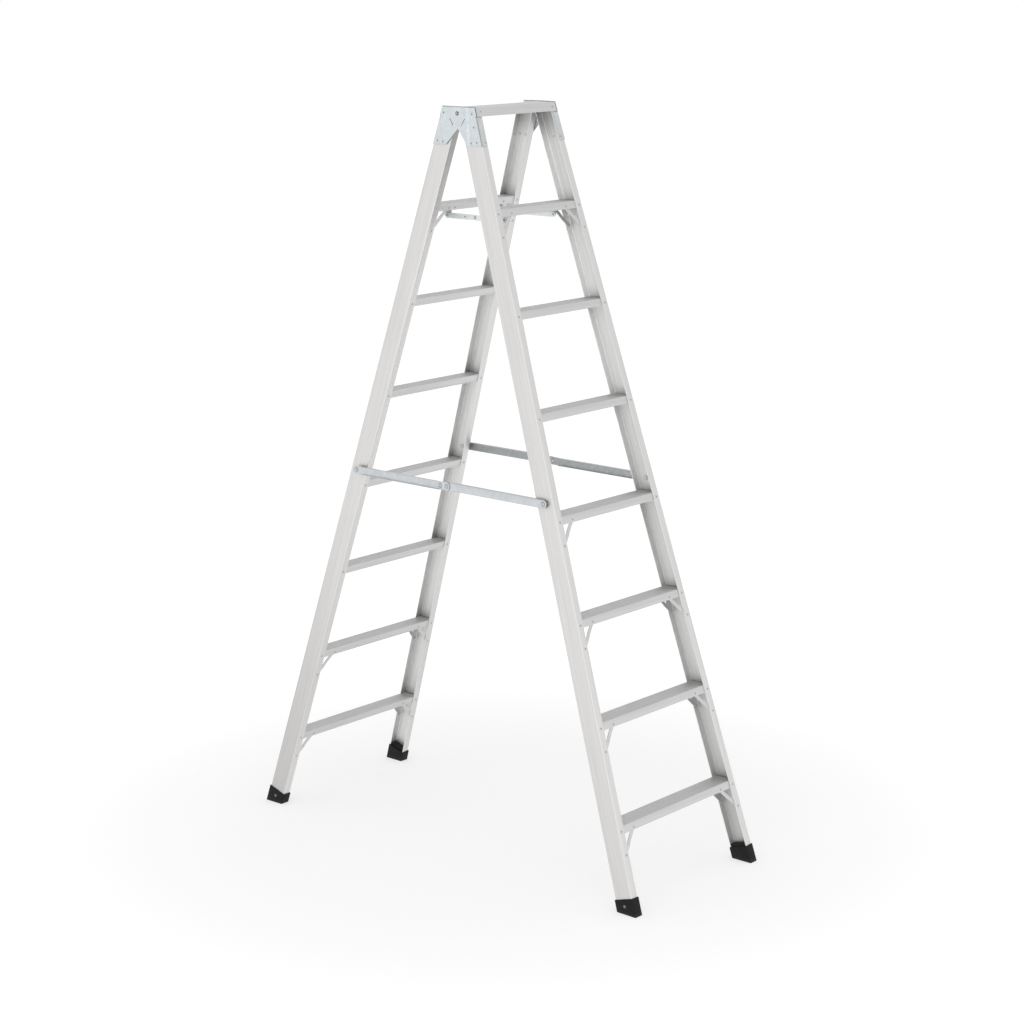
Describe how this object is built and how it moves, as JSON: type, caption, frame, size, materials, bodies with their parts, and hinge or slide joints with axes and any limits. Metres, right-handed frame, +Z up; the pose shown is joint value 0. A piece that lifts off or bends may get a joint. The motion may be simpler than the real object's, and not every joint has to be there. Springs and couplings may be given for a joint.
{
  "type": "step ladder",
  "caption": "Free-standing double-sided aluminium step ladder: ribbed treads between tapering channel rails, hinge plates on top, folding spreaders and stays, rubber boots.",
  "frame": {"origin": "on the floor under the hinge line, midway between the two sides", "axes": "+X across the ladder, +Y from the front frame, which has the top tread, to the rear frame, +Z up"},
  "size_m": [0.594, 1.5302, 2.2543],
  "materials": {
    "rail_aluminium": "mill finish extrusion",
    "tread_aluminium": "ribbed extrusion",
    "brace_aluminium": "rolled strip",
    "zinc_steel": "pressed and zinc plated",
    "steel_rivet": "zinc plated",
    "aluminium_rivet": "as formed",
    "boot_rubber": "moulded, matt"
  },
  "bodies": {
    "front_frame": {"front_boot_rivets": "aluminium_rivet", "front_frame_rivets": "aluminium_rivet", "front_hinge_rivets": "aluminium_rivet", "front_left_boot": "boot_rubber", "front_left_hinge_plate": "zinc_steel", "front_left_rail": "rail_aluminium", "front_right_boot": "boot_rubber", "front_right_hinge_plate": "zinc_steel", "front_right_rail": "rail_aluminium", "front_spreader_rivets": "steel_rivet", "front_stay_brackets": "zinc_steel", "front_stay_rivets": "steel_rivet", "front_step_1": "tread_aluminium", "front_step_2": "tread_aluminium", "front_step_3": "tread_aluminium", "front_step_4": "tread_aluminium", "front_step_5": "tread_aluminium", "front_step_6": "tread_aluminium", "front_step_7": "tread_aluminium", "front_step_braces": "brace_aluminium", "hinge_pivots": "steel_rivet", "top_step": "tread_aluminium"},
    "left_front_spreader": {"left_front_spreader": "zinc_steel", "left_front_spreader_stud": "steel_rivet"},
    "left_front_stay": {"left_front_stay": "zinc_steel", "left_front_stay_stud": "steel_rivet"},
    "left_rear_spreader": {"left_rear_spreader": "zinc_steel", "left_rear_spreader_studs": "steel_rivet"},
    "left_rear_stay": {"left_rear_stay": "zinc_steel", "left_rear_stay_studs": "steel_rivet"},
    "rear_frame": {"rear_boot_rivets": "aluminium_rivet", "rear_frame_rivets": "aluminium_rivet", "rear_hinge_rivets": "aluminium_rivet", "rear_left_boot": "boot_rubber", "rear_left_hinge_plate": "zinc_steel", "rear_left_rail": "rail_aluminium", "rear_right_boot": "boot_rubber", "rear_right_hinge_plate": "zinc_steel", "rear_right_rail": "rail_aluminium", "rear_spreader_rivets": "steel_rivet", "rear_stay_brackets": "zinc_steel", "rear_stay_rivets": "steel_rivet", "rear_step_1": "tread_aluminium", "rear_step_2": "tread_aluminium", "rear_step_3": "tread_aluminium", "rear_step_4": "tread_aluminium", "rear_step_5": "tread_aluminium", "rear_step_6": "tread_aluminium", "rear_step_7": "tread_aluminium", "rear_step_braces": "brace_aluminium"},
    "right_front_spreader": {"right_front_spreader": "zinc_steel", "right_front_spreader_stud": "steel_rivet"},
    "right_front_stay": {"right_front_stay": "zinc_steel", "right_front_stay_stud": "steel_rivet"},
    "right_rear_spreader": {"right_rear_spreader": "zinc_steel", "right_rear_spreader_studs": "steel_rivet"},
    "right_rear_stay": {"right_rear_stay": "zinc_steel", "right_rear_stay_studs": "steel_rivet"}
  },
  "joints": [
    {"name": "frame_fold", "type": "hinge", "parent": "front_frame", "child": "rear_frame", "pos_m": [0, 0, 2.23398], "axis": [-1, 0, 0], "range_deg": [0, 34.2]},
    {"name": "left_front_spreader_turn", "type": "hinge", "parent": "front_frame", "child": "left_front_spreader", "pos_m": [-0.23492, -0.37365, 1.14428], "axis": [1, 0, 0], "range_deg": [0, 67.31]},
    {"name": "left_rear_spreader_turn", "type": "hinge", "parent": "rear_frame", "child": "left_rear_spreader", "pos_m": [-0.23492, 0.37365, 1.14428], "axis": [-1, 0, 0], "range_deg": [0, 67.31]},
    {"name": "right_front_spreader_turn", "type": "hinge", "parent": "front_frame", "child": "right_front_spreader", "pos_m": [0.23492, -0.37365, 1.14428], "axis": [1, 0, 0], "range_deg": [0, 67.31]},
    {"name": "right_rear_spreader_turn", "type": "hinge", "parent": "rear_frame", "child": "right_rear_spreader", "pos_m": [0.23492, 0.37365, 1.14428], "axis": [-1, 0, 0], "range_deg": [0, 67.31]},
    {"name": "left_front_stay_turn", "type": "hinge", "parent": "front_frame", "child": "left_front_stay", "pos_m": [0, -0.11441, 1.92785], "axis": [-1, 0, 0], "range_deg": [0, 97.42]},
    {"name": "left_rear_stay_turn", "type": "hinge", "parent": "rear_frame", "child": "left_rear_stay", "pos_m": [0, 0.11441, 1.92785], "axis": [1, 0, 0], "range_deg": [0, 97.42]},
    {"name": "right_front_stay_turn", "type": "hinge", "parent": "front_frame", "child": "right_front_stay", "pos_m": [0, -0.11441, 1.92785], "axis": [-1, 0, 0], "range_deg": [0, 97.42]},
    {"name": "right_rear_stay_turn", "type": "hinge", "parent": "rear_frame", "child": "right_rear_stay", "pos_m": [0, 0.11441, 1.92785], "axis": [1, 0, 0], "range_deg": [0, 97.42]}
  ],
  "couplings": [
    {"joint": "left_front_spreader_turn", "follows": "frame_fold", "ratio": 1.9667},
    {"joint": "left_rear_spreader_turn", "follows": "frame_fold", "ratio": 1.9667},
    {"joint": "right_front_spreader_turn", "follows": "frame_fold", "ratio": 1.9667},
    {"joint": "right_rear_spreader_turn", "follows": "frame_fold", "ratio": 1.9667},
    {"joint": "left_front_stay_turn", "follows": "frame_fold", "ratio": 2.8471},
    {"joint": "left_rear_stay_turn", "follows": "frame_fold", "ratio": 2.8471},
    {"joint": "right_front_stay_turn", "follows": "frame_fold", "ratio": 2.8471},
    {"joint": "right_rear_stay_turn", "follows": "frame_fold", "ratio": 2.8471}
  ]
}
